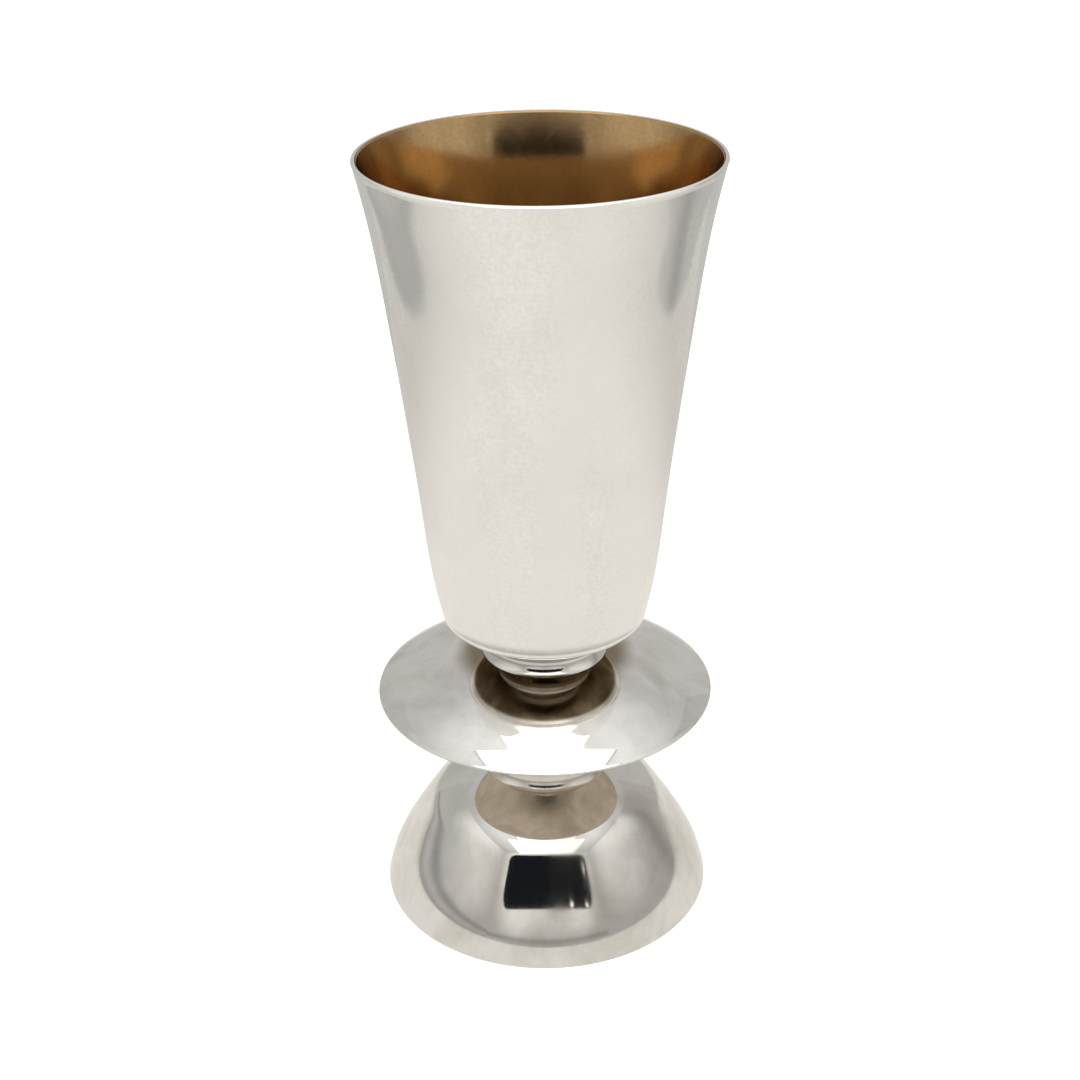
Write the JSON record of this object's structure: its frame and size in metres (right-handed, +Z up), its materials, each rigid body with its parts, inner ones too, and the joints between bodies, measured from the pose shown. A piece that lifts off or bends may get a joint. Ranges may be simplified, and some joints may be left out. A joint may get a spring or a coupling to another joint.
{
  "type": "kiddush cup",
  "caption": "Stemmed silver wine cup with a tapered gilt-lined bowl, a wide saucer-shaped disc on short necks and a hollow domed foot.",
  "frame": {"origin": "centre of the ring that the foot stands on, at table height", "axes": "+Z up along the cup's axis, from the foot towards the rim; X and Y are any two directions across it"},
  "size_m": [0.0602, 0.0602, 0.138],
  "materials": {
    "polished_silver": "mirror-polished silver with a light patina, darker in the recesses",
    "satin_silver": "silver rubbed to a soft polish with a fine grain",
    "gilding": "soft gold plating, worn and stained by use"
  },
  "bodies": {
    "root": {"foot": "polished_silver", "lower_neck": "polished_silver", "disc": "polished_silver", "upper_neck": "polished_silver", "bowl": "satin_silver"}
  },
  "joints": []
}
